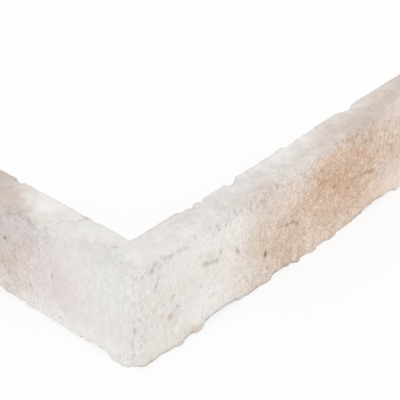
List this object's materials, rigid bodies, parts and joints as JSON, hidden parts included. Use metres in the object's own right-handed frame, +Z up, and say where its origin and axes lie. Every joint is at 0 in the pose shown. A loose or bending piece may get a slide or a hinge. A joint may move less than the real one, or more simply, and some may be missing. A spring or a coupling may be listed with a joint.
{
  "type": "stone veneer corner",
  "caption": "L-shaped cast stone veneer corner with a long and a short return, flat backs for bonding and rounded, chipped edges, for facing the outside corner of a wall.",
  "frame": {"origin": "middle of the bounding box's base, on the plane that the piece stands on", "axes": "+X along the long return away from the outside corner, +Y along the short return away from it, +Z up through the course height"},
  "size_m": [0.305, 0.152, 0.073],
  "materials": {
    "cast_stone": "matte"
  },
  "bodies": {
    "root": {"veneer_corner": "cast_stone"}
  },
  "joints": []
}
